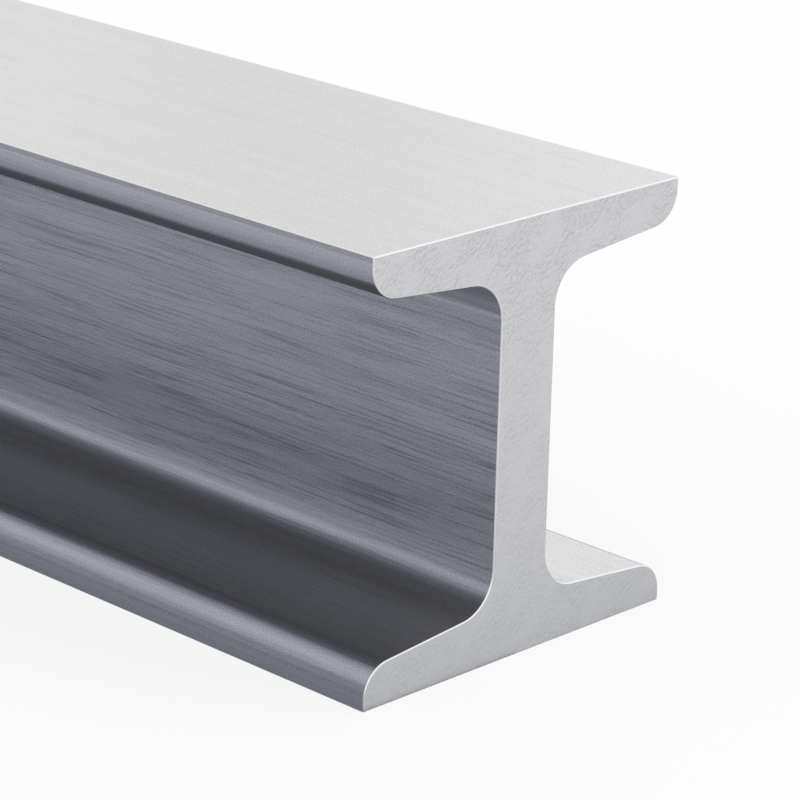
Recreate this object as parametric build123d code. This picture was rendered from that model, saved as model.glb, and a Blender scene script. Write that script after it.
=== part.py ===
"""An aluminium H-beam, as extruded and saw-cut to length: one solid piece of stock.

The bar lies along X and stands on its lower flange. The origin is on the underside, midway
along the bar and midway across the flange. Y runs across the flanges and Z up the depth.
The inner faces of the flanges taper: each flange is thickest at the web, where a root fillet
joins them, and its inner edge is rounded off by a toe radius.
"""

from build123d import *
import math
import os

# Driving dimensions, in millimetres
LENGTH = 609.6  # one cut length, 24 in
DEPTH = 101.6  # over both flanges, 4 in
FLANGE_WIDTH = 96.0
FLANGE_EDGE_THICKNESS = 9.7  # at the flange's edge, before the toe is rounded
FLANGE_TAPER = 5.3  # slope of a flange's inner face, in degrees
WEB_THICKNESS = 17.0
ROOT_RADIUS = 9.9  # fillet between the web and a flange
TOE_RADIUS = 7.8  # rounding of a flange's inner edge
EDGE_BREAK = 0.3  # on the sharp long corners and round both saw cuts

# Sizes that follow from them
half_depth = DEPTH / 2
half_width = FLANGE_WIDTH / 2
half_web = WEB_THICKNESS / 2
flange_reach = half_width - half_web
flange_root_thickness = FLANGE_EDGE_THICKNESS + flange_reach * math.tan(math.radians(FLANGE_TAPER))

# A rounded corner takes this much of each side it joins, for each millimetre of its radius. The
# toe is limited by the flange's edge, which also carries a broken corner, and the root by the web.
CORNER_FILL = 0.98  # share of the shorter side that a rounding may use up
side_per_radius = math.tan(math.radians((90 - FLANGE_TAPER) / 2))
toe_radius = min(TOE_RADIUS, CORNER_FILL * (FLANGE_EDGE_THICKNESS - EDGE_BREAK) / side_per_radius)
root_radius = min(ROOT_RADIUS, CORNER_FILL * (half_depth - flange_root_thickness) / side_per_radius)

# Two places closer than this are the same place
SAME_PLACE = 0.001


def same(a, b):
    """Whether two measures agree to within the tolerance."""
    return abs(a - b) < SAME_PLACE


def sharp_section():
    """The H outline with sharp corners, centred on the origin of its plane: X across, Y up."""
    quarter = [
        (half_width, half_depth),
        (half_width, half_depth - FLANGE_EDGE_THICKNESS),
        (half_web, half_depth - flange_root_thickness),
    ]
    right_side = quarter + [(x, -y) for x, y in reversed(quarter)]
    left_side = [(-x, y) for x, y in reversed(right_side)]
    return make_face(Polyline(*right_side, *left_side, close=True))


def rounded_section():
    """The same outline with its four root fillets and its four rounded toes."""
    section = sharp_section()
    roots = [corner for corner in section.vertices() if same(abs(corner.X), half_web)]
    section = fillet(roots, root_radius)
    toe_height = half_depth - FLANGE_EDGE_THICKNESS
    toes = [
        corner
        for corner in section.vertices()
        if same(abs(corner.X), half_width) and same(abs(corner.Y), toe_height)
    ]
    return fillet(toes, toe_radius)


def saw_cut_bar():
    """The section drawn out to the bar's length, with its sharp edges broken."""
    standing = Plane.YZ.offset(-LENGTH / 2).shift_origin((-LENGTH / 2, 0, half_depth))
    bar = extrude(standing * rounded_section(), LENGTH)
    end_rims = [edge for edge in bar.edges() if same(abs(edge.center().X), LENGTH / 2)]
    long_corners = [
        edge
        for edge in bar.edges().filter_by(Axis.X)
        if same(abs(edge.center().Y), half_width)
        and (same(edge.center().Z, 0) or same(edge.center().Z, DEPTH))
    ]
    return chamfer(end_rims + long_corners, EDGE_BREAK)


h_beam = saw_cut_bar()

os.makedirs("parts", exist_ok=True)
export_step(h_beam, "parts/h_beam.step")
print("h_beam", "volume mm3", round(h_beam.volume), "size", h_beam.bounding_box().size)
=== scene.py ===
# %% [markdown]
# # An aluminium H-beam, dressed for its picture
#
# The object is one bar of extruded aluminium with an H section, saw-cut square at both ends. Its
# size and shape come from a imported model, which this script loads as a fixed frame. Everything
# that is made here is the finish: a smoother skin over the same shape, the brushed long faces, the
# matt cut ends, and a plain studio to see them in.

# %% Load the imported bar
import math

import bpy
from mathutils import Matrix, Vector


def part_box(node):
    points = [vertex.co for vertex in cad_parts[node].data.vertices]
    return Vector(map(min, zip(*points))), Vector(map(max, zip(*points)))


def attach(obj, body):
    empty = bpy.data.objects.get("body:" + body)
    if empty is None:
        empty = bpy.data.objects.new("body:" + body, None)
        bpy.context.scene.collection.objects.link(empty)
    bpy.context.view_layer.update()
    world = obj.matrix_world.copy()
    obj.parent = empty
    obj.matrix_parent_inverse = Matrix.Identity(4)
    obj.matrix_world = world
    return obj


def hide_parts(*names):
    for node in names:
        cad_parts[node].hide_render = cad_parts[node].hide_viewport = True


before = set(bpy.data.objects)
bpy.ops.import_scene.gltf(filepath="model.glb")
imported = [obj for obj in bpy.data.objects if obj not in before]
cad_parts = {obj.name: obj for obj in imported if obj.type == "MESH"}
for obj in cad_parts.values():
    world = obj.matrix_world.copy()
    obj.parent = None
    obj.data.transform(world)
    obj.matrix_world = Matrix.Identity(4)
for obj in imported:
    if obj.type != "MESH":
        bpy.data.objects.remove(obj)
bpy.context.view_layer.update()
low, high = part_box("h_beam")

# %% [markdown]
# ## The section
#
# A real bar is pushed through a die, so one outline makes the whole of it: two flanges that are
# thickest at the web, a large fillet where each meets the web, and a rounded toe on each inner
# edge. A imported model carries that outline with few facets. A new outline with fine arcs keeps the
# reflections on the fillets and toes smooth, and it can also carry exact surface directions, so
# that the flat faces stay flat to the eye right up to the curves.
#
# The length, depth and width are read from the frame. The sizes below are the section's own.

# %% Sizes of the section, in metres
MM = 0.001
WEB_THICKNESS = 17.0 * MM
FLANGE_EDGE_THICKNESS = 9.7 * MM  # before the toe is rounded
FLANGE_TAPER = math.radians(5.3)
ROOT_RADIUS = 9.9 * MM
TOE_RADIUS = 7.8 * MM
CORNER_RADIUS = 0.2 * MM  # the sharp long corners, just broken
CUT_RADIUS = 0.35 * MM  # the edges of the saw cuts, deburred
SHARPEST = 0.02 * MM  # the smallest rounding that a corner keeps when the outline moves inwards

length, flange_width, depth = high - low
half_length, half_width, half_web = length / 2, flange_width / 2, WEB_THICKNESS / 2
print("half sizes", [round(size / MM, 1) for size in (half_length, half_width, half_web)], "mm")

# %% Outline of the section
CORNER_STEPS = 5  # short sides that make up a broken corner
CURVE_STEPS = 28  # and those that make up a toe or a root fillet


def arc(centre, radius, start, end, steps):
    """Points and outward directions along an arc, with angles in radians from +Y towards +Z."""
    hollow = -1 if end < start else 1
    made = []
    for step in range(steps + 1):
        angle = start + (end - start) * step / steps
        out = Vector((math.cos(angle), math.sin(angle)))
        made.append((Vector(centre) + radius * out, out * hollow))
    return made


def lower_right_quarter(inset):
    """The outline from the underside to mid-web, with every face moved inwards by inset."""
    slope = math.tan(FLANGE_TAPER)
    corner_radius = max(CORNER_RADIUS - inset, SHARPEST)
    corner = (half_width - inset - corner_radius, inset + corner_radius)
    toe_drop = TOE_RADIUS / math.cos(FLANGE_TAPER) - TOE_RADIUS * slope
    toe = (half_width - TOE_RADIUS, FLANGE_EDGE_THICKNESS - toe_drop)
    root_y = half_web + ROOT_RADIUS
    root_rise = (half_width - root_y) * slope + ROOT_RADIUS / math.cos(FLANGE_TAPER)
    root = (root_y, FLANGE_EDGE_THICKNESS + root_rise)
    quarter_turn, inner_face = math.pi / 2, math.pi / 2 - FLANGE_TAPER
    points = arc(corner, corner_radius, -quarter_turn, 0, CORNER_STEPS)
    points += arc(toe, TOE_RADIUS - inset, 0, inner_face, CURVE_STEPS)
    points += arc(root, ROOT_RADIUS + inset, math.pi + inner_face, math.pi, CURVE_STEPS)
    return points


def outline(inset):
    """The closed outline as (y, z) points with outward directions, round from the underside."""
    lower = lower_right_quarter(inset)
    upper = [(Vector((p.x, depth - p.y)), Vector((n.x, -n.y))) for p, n in reversed(lower)]
    right = lower + upper
    left = [(Vector((-p.x, p.y)), Vector((-n.x, n.y))) for p, n in reversed(right)]
    return right + left


skin_outline = outline(0)
print("outline", len(skin_outline), "points")

# %% [markdown]
# ## The skin of the bar
#
# The outline is carried along the bar in rings. A curve with this profile as its bevel would make
# the long faces too, but rings that are made in code can also shrink at the ends. There, four more
# rings turn the edge of the cut over in a quarter round, because a saw leaves a burr that is always
# rubbed off, and that small rounded edge is what catches the light as a white line. The cut itself
# is closed by strips that run straight across from the right side of the outline to the left.
#
# The skin also gets a flat map in real metres: along the bar one way, and round the outline the
# other. The brushed finish is drawn on that map, so its lines follow the fillets and toes.

# %% Rings along the bar
SPANS = 24  # lengths of skin between the two ends
CUT_STEPS = 4  # rings that turn each end's edge over

end_turns = [math.pi / 2 * step / CUT_STEPS for step in range(CUT_STEPS + 1)]
body_end = half_length - CUT_RADIUS
stations = [(-body_end - CUT_RADIUS * math.sin(t), -t) for t in reversed(end_turns)]
stations += [(-body_end + 2 * body_end * span / SPANS, 0.0) for span in range(1, SPANS)]
stations += [(body_end + CUT_RADIUS * math.sin(t), t) for t in end_turns]

verts, normals, faces = [], [], []
for x, turn in stations:
    for point, out in outline(CUT_RADIUS * (1 - math.cos(turn))):
        verts.append((x, point.x, point.y))
        normals.append((math.sin(turn), out.x * math.cos(turn), out.y * math.cos(turn)))

ring = len(skin_outline)
for station in range(len(stations) - 1):
    for point in range(ring):
        here, beside = station * ring + point, station * ring + (point + 1) % ring
        faces.append((here, beside, beside + ring, here + ring))
long_faces = len(faces)

for first, is_far in ((0, True), ((len(stations) - 1) * ring, False)):
    for point in range(ring // 2 - 1):
        right, left = first + point, first + ring - 1 - point
        strip = (right, right + 1, left - 1, left)
        faces.append(strip[::-1] if is_far else strip)
print("skin", len(verts), "points", len(faces), "faces")

# %% Make the skin and map it
skin_mesh = bpy.data.meshes.new("h_beam_skin")
skin_mesh.from_pydata(verts, [], faces)
skin_mesh.polygons.foreach_set("use_smooth", [True] * len(faces))

CUT_MAP_SHIFT = 2 * depth  # moves the two cuts apart on the map, so that their marks differ

round_lengths = [0.0]
for point in range(ring):
    step = skin_outline[(point + 1) % ring][0] - skin_outline[point][0]
    round_lengths.append(round_lengths[-1] + step.length)

brush_map = skin_mesh.uv_layers.new(name="along_and_round")
for face in skin_mesh.polygons:
    for loop in face.loop_indices:
        vertex = skin_mesh.loops[loop].vertex_index
        x, y, z = verts[vertex]
        if face.index < long_faces:
            point = vertex % ring
            wraps = point == 0 and (face.index % ring) == ring - 1
            brush_map.data[loop].uv = (x, round_lengths[ring if wraps else point])
        else:
            brush_map.data[loop].uv = (y, z - math.copysign(CUT_MAP_SHIFT, x))
skin_mesh.normals_split_custom_set_from_vertices(normals)
skin_mesh.validate()

skin = bpy.data.objects.new("h_beam_skin", skin_mesh)
bpy.context.scene.collection.objects.link(skin)
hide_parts("h_beam")
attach(skin, "root")
print("round the outline", round(round_lengths[-1] * 1000, 1), "mm")

# %% [markdown]
# ## Materials
#
# Colours are written as sRGB hex values, the way a paint chip is read off a screen, and one
# function turns them into the linear values that the shaders work in. One more small function
# adds a node with its settings and links.

# %% Colour and node helpers


def linear(hex_colour):
    """A linear colour with full alpha from an sRGB hex value such as "#E8E9EA"."""
    parts = [int(hex_colour[i:i + 2], 16) / 255 for i in (1, 3, 5)]
    return [c / 12.92 if c <= 0.04045 else ((c + 0.055) / 1.055) ** 2.4 for c in parts] + [1.0]


def add_node(tree, kind, inputs=(), **settings):
    """Adds a node. Each input is a value to set, or another node's output to link from."""
    node = tree.nodes.new(kind)
    for name, value in settings.items():
        setattr(node, name, value)
    for socket, value in dict(inputs).items():
        if isinstance(value, bpy.types.NodeSocket):
            tree.links.new(value, node.inputs[socket])
        else:
            node.inputs[socket].default_value = value
    return node


def new_material(name):
    """An empty material with its output node."""
    material = bpy.data.materials.new(name)
    material.use_nodes = True
    material.node_tree.nodes.clear()
    return material, material.node_tree, material.node_tree.nodes.new("ShaderNodeOutputMaterial")


# %% [markdown]
# ## Brushed aluminium, drawn lengthwise
#
# The die leaves fine lines along an extrusion, and the bar is then brushed lengthwise to a satin.
# Three sizes of line make that surface: the brush's own grain, streaks where the die or a coarser
# bristle has cut deeper, and slow bands of a slightly different grey. A picture of brushed metal
# could be wrapped round the bar, but it would repeat, and it would blur close to. So each is a
# noise that is squeezed across the bar and drawn out along it on the map in metres, which gives it
# its real size. A real brush leaves lines of about 0.1 mm, too fine for the picture, so the grain
# is drawn more than twice as coarse.
#
# The lines tint the metal, and the finest two are also raised, by one to three hundredths of a
# millimetre. That relief tilts the surface across the bar only, by a degree or two. More would
# blur the pale bands that the fillets and toes mirror, and those bands are what tells the eye that
# this is metal, polished along its length.
#
# The web is brushed hardest, for the brush reaches it with its face, and most of all low down, where
# the brush is leant on. That weight also makes the whole web a darker grey than the flanges, which
# is painted shade for the channel between them. On the flanges the lines are faint. A fine speckle
# lies over everything: the pits that a brush leaves between its lines. They are really too small to
# see from here, so they too are drawn coarser, at a third of a millimetre.

# %% Lines along the bar
GRAIN = {"across": 0.24 * MM, "along": 5 * MM}
STREAKS = {"across": 0.6 * MM, "along": 36 * MM}
BANDS = {"across": 5 * MM, "along": 150 * MM}
SPECKLE = {"across": 0.3 * MM, "along": 0.45 * MM}
WAVE = {"across": 12 * MM, "along": 50 * MM}
WAVE_HEIGHT = 1.0 * MM  # how far the lines stray sideways


def drawn_out_noise(tree, place, across, along, detail=1.0):
    """A noise on the map in metres whose marks are as wide and as long as they are given."""
    stretched = add_node(tree, "ShaderNodeVectorMath", {
        0: place,
        1: (1 / along, 1 / across, 1.0),
    }, operation="MULTIPLY")
    noise = add_node(tree, "ShaderNodeTexNoise", {
        "Vector": stretched.outputs[0],
        "Scale": 1.0,
        "Detail": detail,
    }, noise_dimensions="2D")
    return noise.outputs["Fac"]


def total(tree, *parts):
    """The sum of (value, weight) parts."""
    so_far = 0.0
    for value, weight in parts:
        step = add_node(tree, "ShaderNodeMath", {
            0: value,
            1: weight,
            2: so_far,
        }, operation="MULTIPLY_ADD")
        so_far = step.outputs[0]
    return so_far


print("lines", [round(kind["across"] / MM, 2) for kind in (GRAIN, STREAKS, BANDS)], "mm across")

# %% How hard each height is brushed, and the web's painted shade
# The web takes the lines at full strength and the flanges at FLANGE_SHARE. Because the lines darken
# the grey, the web is also darker than the flanges all over: painted shade for the channel between
# the flanges.
WEB_REACH = (26 * MM, 36 * MM)  # distances from mid-depth between which the brushing eases off
FLANGE_SHARE = 0.3  # how strong the lines are on the flanges, against the web
WEB_FOOT, WEB_HEAD = 30 * MM, 75 * MM  # heights where the web is brushed hardest and most lightly
FOOT_CONTRAST, HEAD_CONTRAST = 1.25, 0.8


def height_above_floor(tree):
    position = add_node(tree, "ShaderNodeTexCoord").outputs["Object"]
    return add_node(tree, "ShaderNodeSeparateXYZ", {"Vector": position}).outputs["Z"]


def brushing_and_channel_shade(tree):
    """How strong the lines are at this height, which also darkens the web as painted shade, and how
    much their tones differ from each other.
    """
    height = height_above_floor(tree)
    from_middle = add_node(tree, "ShaderNodeMath", {
        0: height,
        1: depth / 2,
    }, operation="SUBTRACT").outputs[0]
    off_middle = add_node(tree, "ShaderNodeMath", {0: from_middle}, operation="ABSOLUTE").outputs[0]
    lines_and_channel_shade = add_node(tree, "ShaderNodeMapRange", {
        "Value": off_middle,
        "From Min": WEB_REACH[0],
        "From Max": WEB_REACH[1],
        "To Min": 1.0,
        "To Max": FLANGE_SHARE,
    }, interpolation_type="SMOOTHSTEP").outputs["Result"]
    contrast = add_node(tree, "ShaderNodeMapRange", {
        "Value": height,
        "From Min": WEB_FOOT,
        "From Max": WEB_HEAD,
        "To Min": FOOT_CONTRAST,
        "To Max": HEAD_CONTRAST,
    }).outputs["Result"]
    return lines_and_channel_shade, contrast


print("brushed hardest", round(WEB_FOOT / MM), "mm up, most lightly", round(WEB_HEAD / MM), "mm up")

# %% Brushed extruded aluminium
STROKE_VALUES = (0.56, 0.22)  # of the streaks' noise: where a dark stroke starts, and its darkest
# How far each pattern takes the metal from its pale tone towards its dark one
STROKE_TINT, GRAIN_TINT, BAND_TINT, SPECKLE_TINT = 0.5, 0.45, 0.55, 1.15
AVERAGE_LINES = 0.6  # what the lines come to on average, which the contrast leaves as it is
GRAIN_RELIEF = 0.008 * MM
STREAK_RELIEF = 0.03 * MM


def brushed_extruded_aluminium():
    material, tree, output = new_material("brushed_extruded_aluminium")
    place = add_node(tree, "ShaderNodeUVMap", uv_map="along_and_round").outputs["UV"]
    stray = total(tree, (drawn_out_noise(tree, place, **WAVE), WAVE_HEIGHT))
    sideways = add_node(tree, "ShaderNodeCombineXYZ", {"Y": stray}).outputs[0]
    wavy = add_node(tree, "ShaderNodeVectorMath", {
        0: place,
        1: sideways,
    }, operation="ADD").outputs[0]
    grain = drawn_out_noise(tree, wavy, **GRAIN)
    streaks = drawn_out_noise(tree, wavy, **STREAKS, detail=3.0)
    bands = drawn_out_noise(tree, place, **BANDS, detail=2.0)
    speckle = drawn_out_noise(tree, place, **SPECKLE)
    strokes = add_node(tree, "ShaderNodeMapRange", {
        "Value": streaks,
        "From Min": STROKE_VALUES[0],
        "From Max": STROKE_VALUES[1],
    }, interpolation_type="SMOOTHSTEP").outputs["Result"]

    lines_and_channel_shade, contrast = brushing_and_channel_shade(tree)
    patterns = [(strokes, STROKE_TINT), (grain, GRAIN_TINT), (bands, BAND_TINT)]
    departure = total(tree, *patterns, (-AVERAGE_LINES, 1.0))
    lines = total(tree, (departure, contrast), (AVERAGE_LINES, 1.0))
    # The lines are weighted by height here, which leaves the web a darker grey than the flanges:
    # painted shade of the channel, as well as the brushing.
    tone = add_node(tree, "ShaderNodeMix", {
        "Factor": total(tree, (lines, lines_and_channel_shade), (speckle, SPECKLE_TINT), (-SPECKLE_TINT / 2, 1.0)),
        "A": linear("#F0F0F0"),
        "B": linear("#B0B1B3"),
    }, data_type="RGBA", clamp_factor=False)
    relief = total(tree, (grain, GRAIN_RELIEF), (streaks, STREAK_RELIEF))
    bump = add_node(tree, "ShaderNodeBump", {"Height": relief, "Distance": 1.0})
    lengthwise = add_node(tree, "ShaderNodeTangent", {}, direction_type="UV_MAP",
                          uv_map="along_and_round")
    metal = add_node(tree, "ShaderNodeBsdfPrincipled", {
        "Base Color": tone.outputs["Result"],
        "Metallic": 1.0,
        "Roughness": 0.28,
        "Anisotropic": 0.15,
        "Anisotropic Rotation": 0.25,  # a quarter turn, so that light scatters across the lines
        "Normal": bump.outputs["Normal"],
        "Tangent": lengthwise.outputs["Tangent"],
    })
    tree.links.new(metal.outputs["BSDF"], output.inputs["Surface"])
    return material


finishes = [brushed_extruded_aluminium()]
print(finishes[-1].name, len(finishes[-1].node_tree.nodes), "nodes")

# %% [markdown]
# ## The sawn ends
#
# A cold saw leaves the cut flat and matt. Close to, it looks a little like stone: fine grit,
# softly mottled patches where the blade has smeared the metal, and short slanting dents left by
# the teeth as they swept through. They are deepest at the top, where the blade came in, and fade
# as it settled. The cut has no direction for light to follow, so it is plain rough metal.
#
# The dents could be cut into the mesh, but at a tenth of a millimetre they only tilt the light, and
# a bump does that. The marks are drawn on the cut's own flat map, turned to the angle of the blade.
# Real grit would be too fine to show, so it is drawn a third of a millimetre wide.

# %% Saw-cut aluminium
SAW_ANGLE = math.radians(48)  # the tooth marks, from the flange's width towards its depth
TOOTH_MARKS = {"across": 0.9 * MM, "along": 1.4 * MM}
SMEARS = {"across": 6 * MM, "along": 9 * MM}
GRIT = {"across": 0.3 * MM, "along": 0.45 * MM}
SETTLING = (60 * MM, 90 * MM)  # heights between which the marks fade, from the top down
SETTLED_SHARE = 0.5  # how deep the marks are below that
DENT_VALUES = (0.62, 0.3)  # of the tooth marks' noise: where a dent starts, and its deepest
PATCH_VALUES = (0.3, 0.6)  # of the smears' noise: the calm patches and the dented ones
CALM_SHARE = 0.2  # how deep the marks are in a calm patch
DENT_DEPTH, GRIT_HEIGHT = 0.1 * MM, 0.02 * MM
# How far each pattern dulls the cut
DENT_DULLING, SMEAR_DULLING, GRIT_DULLING = 0.18, 0.2, 0.6


def saw_cut_aluminium():
    material, tree, output = new_material("saw_cut_aluminium")
    place = add_node(tree, "ShaderNodeUVMap", uv_map="along_and_round").outputs["UV"]
    slanted = add_node(tree, "ShaderNodeVectorRotate", {
        "Vector": place,
        "Angle": -SAW_ANGLE,
    }, rotation_type="Z_AXIS").outputs[0]
    teeth = drawn_out_noise(tree, slanted, **TOOTH_MARKS, detail=4.0)
    smears = drawn_out_noise(tree, slanted, **SMEARS, detail=2.0)
    grit = drawn_out_noise(tree, place, **GRIT)
    patches = add_node(tree, "ShaderNodeMapRange", {
        "Value": smears,
        "From Min": PATCH_VALUES[0],
        "From Max": PATCH_VALUES[1],
        "To Min": CALM_SHARE,
    }, interpolation_type="SMOOTHSTEP").outputs["Result"]
    depth_here = add_node(tree, "ShaderNodeMapRange", {
        "Value": height_above_floor(tree),
        "From Min": SETTLING[0],
        "From Max": SETTLING[1],
        "To Min": SETTLED_SHARE,
    }, interpolation_type="SMOOTHSTEP").outputs["Result"]
    dents = add_node(tree, "ShaderNodeMapRange", {
        "Value": teeth,
        "From Min": DENT_VALUES[0],
        "From Max": DENT_VALUES[1],
    }, interpolation_type="SMOOTHSTEP").outputs["Result"]
    for share in (patches, depth_here):
        dents = total(tree, (dents, share))
    tone = add_node(tree, "ShaderNodeMix", {
        "Factor": total(tree, (dents, DENT_DULLING), (smears, SMEAR_DULLING), (grit, GRIT_DULLING)),
        "A": linear("#F6F6F6"),
        "B": linear("#CFD0D2"),
    }, data_type="RGBA")
    relief = total(tree, (dents, -DENT_DEPTH), (grit, GRIT_HEIGHT))
    bump = add_node(tree, "ShaderNodeBump", {"Height": relief, "Distance": 1.0})
    metal = add_node(tree, "ShaderNodeBsdfPrincipled", {
        "Base Color": tone.outputs["Result"],
        "Metallic": 1.0,
        "Roughness": 0.6,
        "Normal": bump.outputs["Normal"],
    })
    tree.links.new(metal.outputs["BSDF"], output.inputs["Surface"])
    return material


finishes.append(saw_cut_aluminium())
print(finishes[-1].name, len(finishes[-1].node_tree.nodes), "nodes")

# %% [markdown]
# ## The rubbed edges
#
# A few strokes with a fine file take the burr off each cut and leave a bright line of fresh metal
# round it, a third of a millimetre wide. At that width no pattern shows, so it is plain, paler than
# the cut and about as smooth as the long faces. It could share the cut's finish, but that is too
# rough to catch the light as a line.

# %% Filed aluminium
def filed_aluminium():
    material, tree, output = new_material("filed_aluminium")
    metal = add_node(tree, "ShaderNodeBsdfPrincipled", {
        "Base Color": linear("#FAFAFA"),
        "Metallic": 1.0,
        "Roughness": 0.3,
    })
    tree.links.new(metal.outputs["BSDF"], output.inputs["Surface"])
    return material


finishes.append(filed_aluminium())
print(finishes[-1].name, len(finishes[-1].node_tree.nodes), "nodes")

# %% [markdown]
# ## Each finish on its faces
#
# The faces of the skin were made in order: ring by ring along the bar, with the quarter rounds at
# its two ends, and last the strips of the cuts. So a face's number alone says which finish it has.

# %% Put each finish on its faces
for finish in finishes:
    skin_mesh.materials.append(finish)
BRUSHED, SAWN, FILED = range(len(finishes))
for face in skin_mesh.polygons:
    span = face.index // ring
    if face.index >= long_faces:
        face.material_index = SAWN
    elif span < CUT_STEPS or span >= len(stations) - 1 - CUT_STEPS:
        face.material_index = FILED
    else:
        face.material_index = BRUSHED
used = [face.material_index for face in skin_mesh.polygons]
print("faces brushed", used.count(BRUSHED), "sawn", used.count(SAWN), "filed", used.count(FILED))

# %% [markdown]
# ## The studio
#
# A pale floor under a white room would show on bare metal as one flat white. A photographer who
# shoots metal stands cards round it, so that each face has something darker or lighter to mirror.
# The same is done here. Each card is a flat sheet that glows in its own tones, and it shows in
# reflections only, so that the floor stays pale and keeps the bar's soft shadow.
#
# Most of the cards' tones were not chosen by eye. Each strip of card was rendered by itself, and a
# least squares fit to the photograph gave the tone that it needs for the bar to look as it does
# there. The few that were set one by one are named beside the lists.

# %% Floor and room
FLOOR_REACH = 30.0  # metres from the middle of the bar, each way
FLOOR_WHITENING = 0.75  # how far the floor's shadow is lifted towards white


def flat_sheet(name, corners, material):
    """A stage sheet with four corners, which isn't part of the object."""
    mesh = bpy.data.meshes.new(name)
    mesh.from_pydata(corners, [], [(0, 1, 2, 3)])
    mesh.materials.append(material)
    sheet = bpy.data.objects.new(name, mesh)
    bpy.context.scene.collection.objects.link(sheet)
    return sheet


def square(reach, height):
    return [(x * reach, y * reach, height) for x, y in [(-1, -1), (1, -1), (1, 1), (-1, 1)]]


def pale_floor_paint():
    material, tree, output = new_material("pale_floor_paint")
    paint = add_node(tree, "ShaderNodeBsdfDiffuse", {"Color": linear("#FDFDFD")})
    glow = add_node(tree, "ShaderNodeEmission", {"Color": linear("#FFFFFF"), "Strength": 1.0})
    ray = add_node(tree, "ShaderNodeLightPath")
    seen = ray.outputs["Is Camera Ray"]
    for kind in ("Is Glossy Ray", "Is Transmission Ray"):
        seen = add_node(tree, "ShaderNodeMath", {
            0: seen,
            1: ray.outputs[kind],
        }, operation="MAXIMUM").outputs[0]
    surface = add_node(tree, "ShaderNodeMixShader", {
        0: total(tree, (seen, FLOOR_WHITENING)),
        1: paint.outputs["BSDF"],
        2: glow.outputs["Emission"],
    })
    tree.links.new(surface.outputs["Shader"], output.inputs["Surface"])
    return material


flat_sheet("floor", square(FLOOR_REACH, 0.0), pale_floor_paint())

world = bpy.data.worlds.new("white_room")
world.use_nodes = True
world.node_tree.nodes["Background"].inputs["Color"].default_value = (1, 1, 1, 1)
bpy.context.scene.world = world
bpy.context.scene.view_settings.view_transform = "Standard"
print("floor", 2 * FLOOR_REACH, "m square, under", world.name)

# %% Card that shows in reflections only
def distance_past_bar(tree):
    """Distances past the bar's ends and past its sides, in metres, and 0 beside the bar."""
    place = add_node(tree, "ShaderNodeTexCoord").outputs["Object"]
    away = add_node(tree, "ShaderNodeVectorMath", {0: place}, operation="ABSOLUTE")
    past = add_node(tree, "ShaderNodeVectorMath", {
        0: away.outputs[0],
        1: (half_length, half_width, 0.0),
    }, operation="SUBTRACT")
    clear = add_node(tree, "ShaderNodeVectorMath", {
        0: past.outputs[0],
        1: (0, 0, 0),
    }, operation="MAXIMUM")
    apart = add_node(tree, "ShaderNodeSeparateXYZ", {"Vector": clear.outputs[0]})
    return apart.outputs["X"], apart.outputs["Y"]


def tone_ramp(tree, amount, stops):
    """A ramp of tones over an amount of up to 1, such as metres: (amount, hex colour) pairs."""
    node = add_node(tree, "ShaderNodeValToRGB", {"Fac": amount})
    elements = node.color_ramp.elements
    elements.remove(elements[1])
    for number, (place, colour) in enumerate(stops):
        element = elements[0] if number == 0 else elements.new(place)
        element.position = place
        element.color = linear(colour)
    return node.outputs["Color"]


def matt_card(name, tones):
    """Card that shows the tones it is given, whatever light falls on it."""
    material, tree, output = new_material(name)
    light = add_node(tree, "ShaderNodeEmission", {"Color": tones(tree)})
    tree.links.new(light.outputs["Emission"], output.inputs["Surface"])
    return material


def reflections_only(sheet):
    sheet.visible_camera = False
    sheet.visible_diffuse = False
    sheet.visible_shadow = False


# %% [markdown]
# ## A mat on the floor
#
# The web and the toes look down at the floor beside the bar. A mat with soft grey bands lies
# there: dark close to the bar, for the lower half of the web, then paler for its upper half, and
# dark again far out, for the root fillet. It could be a painted picture, but its tones change with
# the distance from the bar alone, and a ramp over that distance holds them. Past the bar's ends
# the mat is paler, and the cut takes its own tone from that.

# %% A grey mat on the floor
MAT_REACH = 3.0  # metres from the middle of the bar, each way
MAT_HEIGHT = 0.2 * MM
MAT_END_BLEND = 2 * MM  # over which the tones beside the bar give way to those past its end

# Tones of the mat, each at its distance from the bar in metres: beside it and past its ends. They
# come from the fit, apart from the last one of the near side and the four of the far side, which
# were given one by one.
NEAR_MAT = [
    (0.0025, "#757782"), (0.008, "#828490"), (0.0145, "#747681"), (0.022, "#373E4C"),
    (0.0305, "#414952"), (0.0515, "#A6A9B0"), (0.0665, "#B9BBC5"), (0.085, "#B6B9C3"),
    (0.1075, "#A1A4B1"), (0.1825, "#7F848F"), (0.255, "#6B707C"), (0.40, "#5E6471"),
    (0.95, "#5B616E"), (1.0, "#F4F5F6"),
]
FAR_MAT = [(0.0, "#A0A3AB"), (0.06, "#9A9EA7"), (0.25, "#A6A9B2"), (1.0, "#F4F5F6")]
END_MAT = [
    (0.015, "#B6B7BC"), (0.055, "#CACBCF"), (0.115, "#D1D1D4"), (0.50, "#E1DFE0"),
    (1.0, "#E5E4E4"),
]


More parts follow.
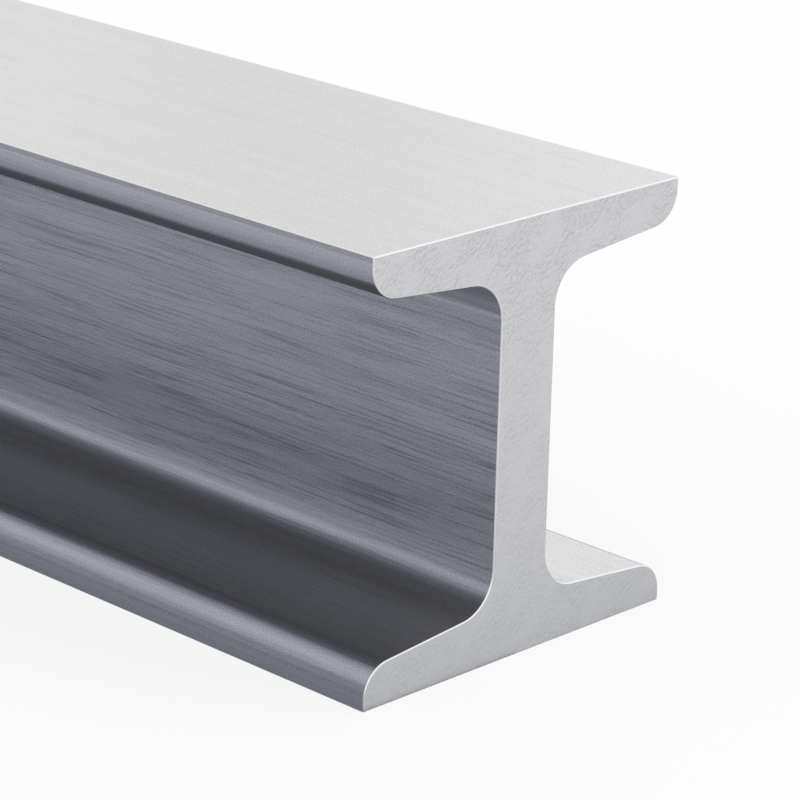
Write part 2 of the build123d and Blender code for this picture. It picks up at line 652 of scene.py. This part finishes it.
def mat_tones(tree):
    past_end, past_side = distance_past_bar(tree)
    place = add_node(tree, "ShaderNodeTexCoord").outputs["Object"]
    across = add_node(tree, "ShaderNodeSeparateXYZ", {"Vector": place}).outputs["Y"]
    is_far = add_node(tree, "ShaderNodeMath", {0: across, 1: 0.0}, operation="GREATER_THAN")
    beside = add_node(tree, "ShaderNodeMix", {
        "Factor": is_far.outputs[0],
        "A": tone_ramp(tree, past_side, NEAR_MAT),
        "B": tone_ramp(tree, past_side, FAR_MAT),
    }, data_type="RGBA")
    beyond = add_node(tree, "ShaderNodeMapRange", {
        "Value": past_end,
        "From Max": MAT_END_BLEND,
    }, interpolation_type="SMOOTHSTEP")
    return add_node(tree, "ShaderNodeMix", {
        "Factor": beyond.outputs["Result"],
        "A": beside.outputs["Result"],
        "B": tone_ramp(tree, past_end, END_MAT),
    }, data_type="RGBA").outputs["Result"]


mat_card = matt_card("grey_mat_card", mat_tones)
reflections_only(flat_sheet("grey_mat", square(MAT_REACH, MAT_HEIGHT), mat_card))
print("mat", 2 * MAT_REACH, "m square,", len(NEAR_MAT), "tones beside the bar")

# %% [markdown]
# ## Long cards beside the near channel
#
# The near side is the dark side of the picture. The root fillet and the toe of the lower flange
# mirror the pale underside of a leaning card, and the toe above mirrors its top. A dark shelf over
# it keeps the flange between those two bands dark. The bar's own upper flange would show there
# too, as a pale line, so a lining card hides its underside and a small corner card hides its
# fillet. A back card closes the far side of the mat. Strip lamps could make such bands too, but
# they would also light the floor, which these cards don't. Each card is flat and runs the length
# of the bar, like the faces that mirror it.

# %% Long cards beside the near channel
CARDS_END = -2.0  # where they end on the X axis, well past the bar's far end


def two_sided(under, over):
    """Tones for a card's underside and its top, each a ramp over the distance from the bar."""

    def tones(tree):
        past_side = distance_past_bar(tree)[1]
        return add_node(tree, "ShaderNodeMix", {
            "Factor": add_node(tree, "ShaderNodeNewGeometry").outputs["Backfacing"],
            "A": tone_ramp(tree, past_side, under),
            "B": tone_ramp(tree, past_side, over),
        }, data_type="RGBA").outputs["Result"]

    return tones


def one_tone(hex_colour):
    return lambda tree: linear(hex_colour)


def long_card(name, first, second, tones):
    """A flat card along the bar, between two (y, z) places in millimetres."""
    inner, outer = [(y * MM, z * MM) for y, z in (first, second)]
    corners = [
        (half_length, *inner), (half_length, *outer), (CARDS_END, *outer), (CARDS_END, *inner),
    ]
    reflections_only(flat_sheet(name, corners, matt_card(name, tones)))
    print(name, "from", first, "to", second, "mm")


# Tones from the fit, apart from two that were given one by one: the first one under the leaning
# card, and the one on top of the corner card. The back card and the lining card have the mean of
# their strips.
long_card("leaning_card", (-49, 54), (-300, 69), two_sided([
    (0.0035, "#868995"), (0.026, "#ACB1BD"), (0.0395, "#B4B8C4"), (0.12, "#9CA0AC"),
    (0.20, "#9B9FAC"),
], [
    (0.0035, "#A4A7B0"), (0.009, "#9FA2AB"), (0.016, "#90949D"), (0.026, "#8A8D97"),
    (0.057, "#A1A4AD"), (0.082, "#A8ABB4"), (0.20, "#AAADB5"),
]))
long_card("dark_shelf", (-48.5, 100), (-1000, 100), two_sided([
    (0.003, "#393F4F"), (0.009, "#626570"), (0.017, "#53535A"), (0.032, "#54524F"),
    (0.057, "#000000"), (0.162, "#110707"), (0.60, "#66666B"),
], [
    (0.011, "#8E9099"),
]))
long_card("back_card", (-1000, 0.2), (-1000, 100), one_tone("#8F91A3"))
long_card("lining_card", (-49.5, 88), (-20, 88), one_tone("#3F4044"))
long_card("corner_card", (-10.5, 83), (-20, 88), two_sided([
    (0.0, "#47474C"),
], [
    (0.0, "#55575D"),
]))

# %% [markdown]
# ## A pale wall beyond the bar
#
# The flat top looks past the bar, at the wall of the room. A wall of one white would make it one
# flat tone. This wall's tones change slowly along it, so that the top goes from pale at the far
# corner through a soft grey and back to pale. The same could be painted on the bar itself, but
# then it would stay there when the bar is seen from elsewhere, as no reflection does. Past the cut
# end the wall is white, and the rubbed edge of the cut mirrors that as its thin white line.

# %% A pale wall beyond the bar
WALL_NEAR, WALL_FAR = 0.6, -3.0  # its two ends on the X axis
WALL_AWAY, WALL_HEIGHT = 0.6, 1.5  # metres

# Tones at shares of the way from the near end to the far one. They come from the fit, as greys,
# apart from the first, the white past the cut, which is given.
PALE_WALL = [
    (0.069, "#FFFFFF"), (0.167, "#E1E1E1"), (0.208, "#F9F9F9"), (0.264, "#E9E9E9"),
    (0.292, "#E8E8E8"), (0.322, "#F0F0F0"), (0.458, "#E8E8E8"), (0.75, "#E6E6E6"),
]


def wall_tones(tree):
    place = add_node(tree, "ShaderNodeTexCoord").outputs["Object"]
    share = add_node(tree, "ShaderNodeMapRange", {
        "Value": add_node(tree, "ShaderNodeSeparateXYZ", {"Vector": place}).outputs["X"],
        "From Min": WALL_NEAR,
        "From Max": WALL_FAR,
    })
    return tone_ramp(tree, share.outputs["Result"], PALE_WALL)


reflections_only(flat_sheet("pale_wall", [
    (WALL_NEAR, WALL_AWAY, 0.0), (WALL_FAR, WALL_AWAY, 0.0),
    (WALL_FAR, WALL_AWAY, WALL_HEIGHT), (WALL_NEAR, WALL_AWAY, WALL_HEIGHT),
], matt_card("pale_wall_card", wall_tones)))
print("wall", WALL_NEAR - WALL_FAR, "m long and", WALL_HEIGHT, "m high")

# %% [markdown]
# ## The camera
#
# The photograph looks down on the cut end from its left, with a long lens close enough for the
# bar to run off the picture's left edge. The direction, distance and lens below were worked out
# from the bar's own straight edges, which meet at vanishing points, and from its outline.

# %% Camera
AZIMUTH = math.radians(44.23)  # from looking along +Y, round towards looking along -X
ELEVATION = math.radians(18.97)
ROLL = math.radians(1.47)
DISTANCE = 0.7424  # metres
LENS, SENSOR_WIDTH = 159.83, 36.0  # millimetres
AIM = Vector((half_length, -39.2 * MM, 68.8 * MM))  # the point at the middle of the picture

back = Vector((
    math.sin(AZIMUTH) * math.cos(ELEVATION),
    -math.cos(AZIMUTH) * math.cos(ELEVATION),
    math.sin(ELEVATION),
))
camera_data = bpy.data.cameras.new("camera")
camera_data.lens = LENS
camera_data.sensor_width = SENSOR_WIDTH
camera = bpy.data.objects.new("camera", camera_data)
camera.location = AIM + back * DISTANCE
level = (-back).to_track_quat("-Z", "Y").to_matrix()
rolled = level @ Matrix.Rotation(ROLL, 3, "Z")
camera.matrix_world = Matrix.Translation(camera.location) @ rolled.to_4x4()
bpy.context.scene.collection.objects.link(camera)
bpy.context.scene.camera = camera
print("camera at", [round(v, 4) for v in camera.location])
